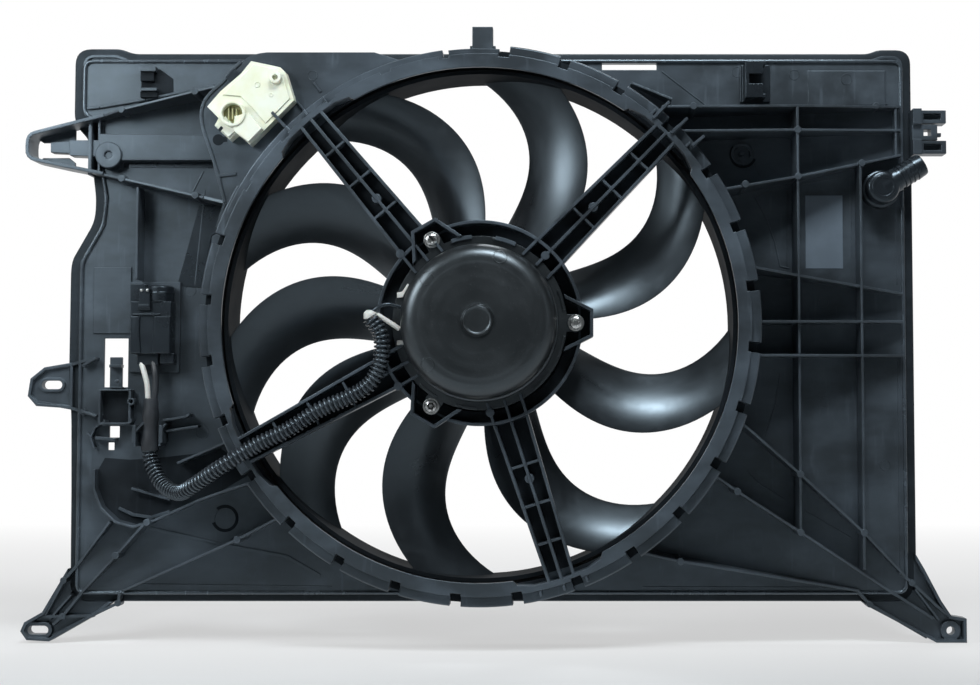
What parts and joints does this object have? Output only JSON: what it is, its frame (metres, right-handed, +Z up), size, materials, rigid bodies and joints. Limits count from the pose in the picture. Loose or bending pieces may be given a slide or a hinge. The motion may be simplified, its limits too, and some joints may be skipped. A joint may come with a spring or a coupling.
{
  "type": "radiator fan",
  "caption": "Radiator fan module: banded swept-blade fan with an electric motor on spokes in a ribbed rectangular shroud, with its wiring and control module.",
  "frame": {"origin": "centre of the lower right fixing hole at the back face of its foot", "axes": "+X to the right seen from the motor side, +Z up, +Y from the motor side toward the radiator"},
  "size_m": [0.752, 0.1054, 0.481],
  "materials": {
    "shroud_plastic": "semi-gloss black moulded plastic",
    "ring_plastic": "semi-gloss black moulded plastic, a little lighter",
    "fan_plastic": "glossy black moulded plastic",
    "harness_black": "black connector and conduit plastic",
    "sleeve_rubber": "dull black heat-shrink sleeve",
    "ivory_plastic": "ivory module housing",
    "wire_white": "white insulation",
    "motor_black": "black coated steel",
    "bright_steel": "bright zinc-plated steel",
    "brass": "plain brass",
    "copper": "enamelled copper wire",
    "laminated_steel": "stacked steel sheet",
    "ferrite": "dark ferrite",
    "carbon": "pressed carbon",
    "card_board": "brown fibre board"
  },
  "bodies": {
    "shroud": {"panel_left": "shroud_plastic", "panel_right": "shroud_plastic", "rim_top": "shroud_plastic", "rim_bottom": "shroud_plastic", "rim_left": "shroud_plastic", "rim_right": "shroud_plastic", "fan_barrel": "shroud_plastic", "ring_face": "ring_plastic", "spoke_upper_right": "shroud_plastic", "spoke_upper_left": "shroud_plastic", "spoke_lower_left": "shroud_plastic", "spoke_bottom": "shroud_plastic", "motor_carrier": "shroud_plastic", "ear_upper_left": "shroud_plastic", "ear_side_left": "shroud_plastic", "foot_lower_left": "shroud_plastic", "foot_lower_right": "shroud_plastic", "fork_upper_right": "shroud_plastic", "top_tab": "shroud_plastic", "ribs_left": "shroud_plastic", "cable_trough": "shroud_plastic", "ribs_right": "shroud_plastic", "ribs_upright": "shroud_plastic", "module_platform": "ring_plastic", "control_module": "ivory_plastic", "module_terminals": "brass", "module_clip": "harness_black", "connector_rail": "shroud_plastic", "connector_socket": "harness_black", "connector_plug": "harness_black", "connector_latch": "harness_black", "plug_wires": "wire_white", "heat_shrink": "sleeve_rubber", "cable_cradle": "shroud_plastic", "conduit": "harness_black", "conduit_sleeve": "wire_white", "motor_leads": "wire_white", "lead_terminals": "wire_white", "wire_clip": "harness_black", "hose_elbow": "harness_black", "motor_can": "motor_black", "motor_flange": "motor_black", "motor_end_plate": "bright_steel", "motor_screws": "bright_steel", "magnets": "ferrite", "brush_card": "card_board", "brushes": "carbon", "brush_springs": "bright_steel", "front_bearing": "bright_steel", "rear_bearing": "bright_steel"},
    "fan": {"fan_hub": "fan_plastic", "fan_blades": "fan_plastic", "fan_band": "fan_plastic", "motor_shaft": "bright_steel", "armature_core": "laminated_steel", "armature_windings": "copper", "commutator": "copper", "hub_nut": "bright_steel"}
  },
  "joints": [
    {"name": "fan_spin", "type": "hinge", "parent": "shroud", "child": "fan", "pos_m": [-0.371, -0.026, 0.241], "axis": [0, -1, 0], "continuous": true}
  ]
}
